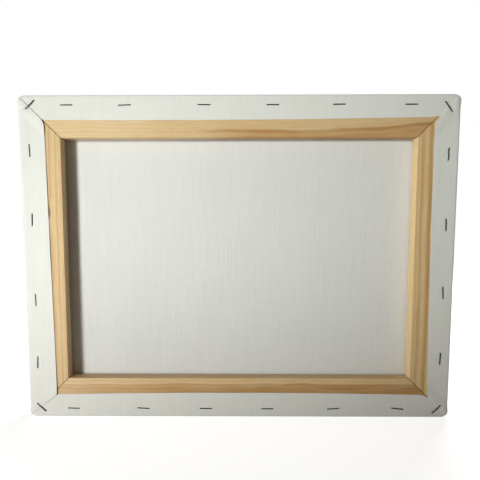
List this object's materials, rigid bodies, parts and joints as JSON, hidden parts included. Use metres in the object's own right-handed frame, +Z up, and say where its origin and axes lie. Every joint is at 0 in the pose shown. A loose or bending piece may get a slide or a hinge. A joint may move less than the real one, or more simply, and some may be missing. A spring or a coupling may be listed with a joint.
{
  "type": "stretched canvas",
  "caption": "Blank artist's canvas stretched over an interlocked pine frame, its edges folded over the back and stapled down; it hangs by its top bar or stands on its bottom edge.",
  "frame": {"origin": "under the middle of the object, on the surface that its bottom edge stands on", "axes": "+X across the canvas, to the right of a person who looks at the side to be painted; +Z up; the side to be painted faces -Y and the stapled back faces +Y"},
  "size_m": [0.4, 0.0178, 0.3],
  "materials": {
    "primed_cotton": "white acrylic priming on cotton duck, matt, with a fine plain weave; raw and slightly warmer on the reverse",
    "pine": "planed and sanded pale pine, unsealed, straight grain with darker late wood",
    "staple_wire": "flat galvanised wire, dull grey"
  },
  "bodies": {
    "root": {"canvas": "primed_cotton", "top_bar": "pine", "bottom_bar": "pine", "left_bar": "pine", "right_bar": "pine", "top_staples": "staple_wire", "bottom_staples": "staple_wire", "left_staples": "staple_wire", "right_staples": "staple_wire", "corner_staples": "staple_wire"}
  },
  "joints": []
}
